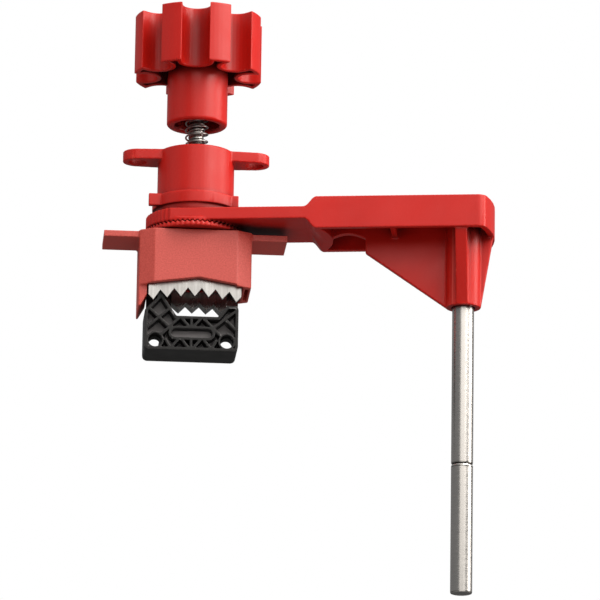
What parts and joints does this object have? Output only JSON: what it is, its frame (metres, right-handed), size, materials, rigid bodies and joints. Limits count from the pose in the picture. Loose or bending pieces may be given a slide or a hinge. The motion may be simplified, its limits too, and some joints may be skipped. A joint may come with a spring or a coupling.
{
  "type": "valve lockout clamp",
  "caption": "Screw clamp lockout for a valve lever, with a fluted hand knob, a padlock collar and a swinging blocking arm that carries a long steel rod.",
  "frame": {"origin": "on the screw's axis, at the floor of the lower jaw's notch, where the valve lever rests", "axes": "+Z along the screw towards the hand knob, +X towards the clamp's open side and, near rest, the blocking arm, -Y towards the grained front face"},
  "size_m": [0.1705, 0.0684, 0.2599],
  "materials": {
    "moulded_red": "satin moulded",
    "grained_red": "finely grained",
    "black_nylon": "satin moulded",
    "turned_steel": "turned",
    "bright_steel": "plated",
    "brass": "machined"
  },
  "bodies": {
    "housing": {"clamp_housing": "grained_red", "index_ring": "moulded_red", "index_ring_screw_1": "turned_steel", "index_ring_screw_2": "turned_steel", "index_ring_screw_3": "turned_steel", "index_ring_screw_4": "turned_steel", "screw_nut": "brass", "spring_washer": "turned_steel", "knob_spring": "bright_steel", "lower_jaw": "black_nylon", "lower_jaw_screw_1": "turned_steel", "lower_jaw_screw_2": "turned_steel"},
    "upper_jaw": {"jaw_carrier": "moulded_red", "front_jaw_plate": "bright_steel", "rear_jaw_plate_1": "bright_steel", "rear_jaw_plate_2": "bright_steel", "rear_jaw_plate_3": "bright_steel", "rear_jaw_plate_4": "bright_steel", "jaw_rivet_1": "turned_steel", "jaw_rivet_2": "turned_steel", "thrust_washer": "bright_steel", "screw_clip": "turned_steel"},
    "knob": {"hand_knob": "moulded_red", "knob_nut": "turned_steel", "knob_washer": "bright_steel", "knob_cap": "moulded_red", "clamp_screw": "turned_steel"},
    "collar": {"locking_collar": "moulded_red", "collar_retaining_ring": "turned_steel"},
    "arm": {"blocking_arm": "moulded_red", "blocking_rod": "turned_steel", "rod_extension": "turned_steel", "rod_stud": "bright_steel", "rod_screw": "bright_steel"}
  },
  "joints": [
    {"name": "jaw_feed", "type": "slide", "parent": "housing", "child": "upper_jaw", "axis": [0, 0, 1], "range_m": [-0.0028, 0.013], "deforming": ["knob_spring"]},
    {"name": "knob_turn", "type": "hinge", "parent": "upper_jaw", "child": "knob", "pos_m": [0, 0, 0.0195], "axis": [0, 0, 1], "range_deg": [-403, 1836]},
    {"name": "collar_lift", "type": "slide", "parent": "housing", "child": "collar", "axis": [0, 0, 1], "range_m": [0, 0.006]},
    {"name": "arm_swing", "type": "hinge", "parent": "collar", "child": "arm", "pos_m": [0, 0, 0.0412], "axis": [0, 0, 1], "continuous": true}
  ],
  "couplings": [
    {"joint": "jaw_feed", "follows": "knob_turn", "m_per_rad": 0.00039788}
  ]
}
